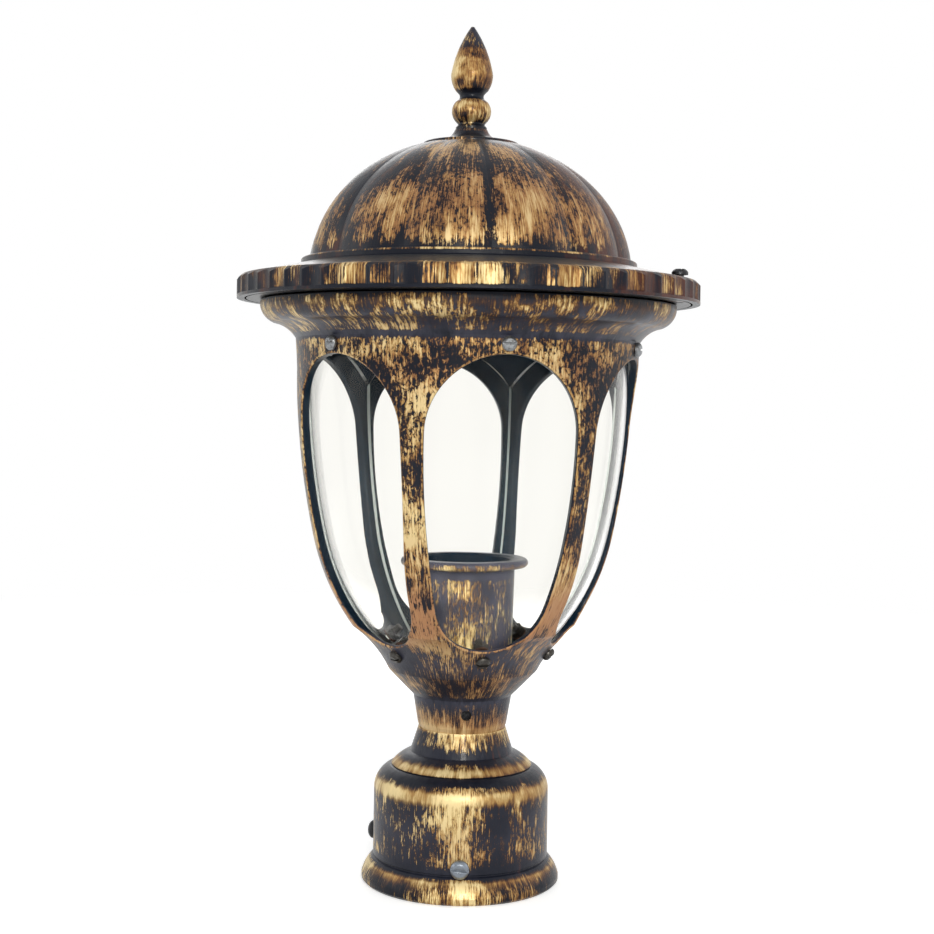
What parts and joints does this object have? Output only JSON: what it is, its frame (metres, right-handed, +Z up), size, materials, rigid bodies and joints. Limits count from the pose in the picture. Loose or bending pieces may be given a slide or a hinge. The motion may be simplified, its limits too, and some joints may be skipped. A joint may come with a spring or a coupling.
{
  "type": "post top lantern",
  "caption": "Post top lantern with a lobed dome, fluted rim, arched cage with clear curved panes and a round post fitter.",
  "frame": {"origin": "centre of the post fitter's bottom edge, where the lantern stands on the post", "axes": "+Z up along the lantern's axis to the finial; -Y out through the middle of the front window; +X to the right seen from the front"},
  "size_m": [0.2296, 0.2296, 0.4246],
  "materials": {
    "enamel": "black enamel brushed with gold",
    "zinc": "zinc plated",
    "dark_screw": "blackened",
    "pane": "clear, curved",
    "fibre": "matt",
    "gasket": "matt",
    "ceramic": "glazed white",
    "brass": "bright"
  },
  "bodies": {
    "lantern": {"post_fitter": "enamel", "cage": "enamel", "neck_screws": "zinc", "pane_1": "pane", "pane_2": "pane", "pane_3": "pane", "pane_4": "pane", "pane_5": "pane", "pane_6": "pane", "pane_screws_upper": "zinc", "pane_washers_upper": "fibre", "pane_nuts_upper": "zinc", "pane_screws_lower": "zinc", "pane_washers_lower": "fibre", "pane_nuts_lower": "zinc", "lamp_cup": "enamel", "stem": "zinc", "stem_nut_upper": "zinc", "stem_washer": "zinc", "stem_nut_lower": "zinc", "lampholder_body": "ceramic", "lampholder_shell": "brass", "centre_contact": "brass"},
    "roof": {"roof_cover": "enamel", "roof_gasket": "gasket", "roof_screws": "dark_screw", "finial": "enamel", "finial_washer": "zinc", "finial_nut": "zinc"},
    "screw_front": {"post_screw_front": "zinc"},
    "screw_left": {"post_screw_left": "dark_screw"},
    "screw_right": {"post_screw_right": "zinc"}
  },
  "joints": [
    {"name": "roof_lift", "type": "slide", "parent": "lantern", "child": "roof", "axis": [0, 0, 1], "range_m": [0, 0.2]},
    {"name": "clamp_front", "type": "slide", "parent": "lantern", "child": "screw_front", "axis": [-0.2164, -0.9763, 0], "range_m": [-0.0008, 0.0042]},
    {"name": "clamp_left", "type": "slide", "parent": "lantern", "child": "screw_left", "axis": [-0.887, 0.4617, 0], "range_m": [-0.0008, 0.0042]},
    {"name": "clamp_right", "type": "slide", "parent": "lantern", "child": "screw_right", "axis": [0.9063, 0.4226, 0], "range_m": [-0.0008, 0.0042]}
  ]
}
